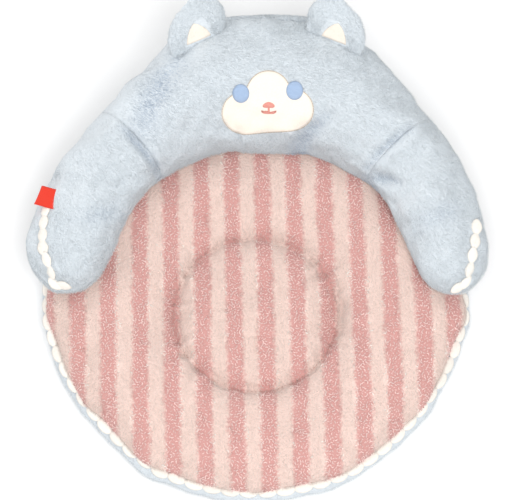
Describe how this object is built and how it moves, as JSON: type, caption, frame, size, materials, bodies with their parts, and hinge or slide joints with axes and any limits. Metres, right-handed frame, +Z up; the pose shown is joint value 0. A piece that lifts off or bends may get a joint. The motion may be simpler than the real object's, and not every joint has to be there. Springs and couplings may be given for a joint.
{
  "type": "pet cushion bed",
  "caption": "Round quilted pet mat with a scalloped edge, and a stuffed plush arch with a head, ears and arms that hug its back half.",
  "frame": {"origin": "on the floor, on the flat underside below the middle of the mat", "axes": "+Z up out of the floor, +Y towards the head end, +X to the right as seen from the front"},
  "size_m": [0.496, 0.5391, 0.1698],
  "materials": {
    "blue_plush": "short brushed pile, pale blue",
    "striped_plush": "pink and cream stripes, curly pile on the pink and short nap on the cream",
    "cream_trim": "cream scalloped fleece",
    "cream_felt": "smooth cream felt",
    "blue_thread": "satin stitch embroidery",
    "coral_thread": "satin stitch embroidery",
    "seam_thread": "sewing thread",
    "edge_thread": "tan running stitch",
    "tag_ribbon": "plain red woven ribbon",
    "fibre_fill": "loose polyester fibre"
  },
  "bodies": {
    "bed": {"face_patch": "cream_felt", "face_patch_stitching": "edge_thread", "head_filling": "fibre_fill", "head_top_cover": "blue_plush", "head_under_cover": "blue_plush", "left_eye": "blue_thread", "mat_bottom_cover": "blue_plush", "mat_centre_filling": "fibre_fill", "mat_edge_trim": "cream_trim", "mat_ring_filling": "fibre_fill", "mat_top_cover": "striped_plush", "mouth": "coral_thread", "nose": "coral_thread", "quilting_thread_below": "seam_thread", "quilting_thread_top": "seam_thread", "right_eye": "blue_thread"},
    "left_arm": {"left_arm_filling": "fibre_fill", "left_arm_top_cover": "blue_plush", "left_arm_trim": "cream_trim", "left_arm_under_cover": "blue_plush"},
    "right_arm": {"right_arm_filling": "fibre_fill", "right_arm_top_cover": "blue_plush", "right_arm_trim": "cream_trim", "right_arm_under_cover": "blue_plush"},
    "left_ear": {"left_ear_back": "blue_plush", "left_ear_filling": "fibre_fill", "left_ear_front": "blue_plush", "left_inner_ear": "cream_felt"},
    "right_ear": {"right_ear_back": "blue_plush", "right_ear_filling": "fibre_fill", "right_ear_front": "blue_plush", "right_inner_ear": "cream_felt"},
    "side_tag": {"side_tag": "tag_ribbon"}
  },
  "joints": [
    {"name": "left_arm_lift", "type": "hinge", "parent": "bed", "child": "left_arm", "pos_m": [-0.133, 0.163, 0.128], "axis": [-0.6684, 0.7438, 0], "range_deg": [0, 40]},
    {"name": "right_arm_lift", "type": "hinge", "parent": "bed", "child": "right_arm", "pos_m": [0.156, 0.155, 0.128], "axis": [-0.7336, -0.6796, 0], "range_deg": [0, 40]},
    {"name": "left_ear_fold", "type": "hinge", "parent": "bed", "child": "left_ear", "pos_m": [-0.06377, 0.26408, 0.13738], "axis": [0.8999, 0.436, 0], "range_deg": [-25, 35], "stiffness_Nm_per_rad": 0.03},
    {"name": "right_ear_fold", "type": "hinge", "parent": "bed", "child": "right_ear", "pos_m": [0.08752, 0.26386, 0.13767], "axis": [0.9185, -0.3955, 0], "range_deg": [-25, 35], "stiffness_Nm_per_rad": 0.03},
    {"name": "side_tag_flip", "type": "hinge", "parent": "left_arm", "child": "side_tag", "pos_m": [-0.21431, 0.09099, 0.10642], "axis": [0.3316, 0.9434, 0], "range_deg": [0, 60]}
  ]
}
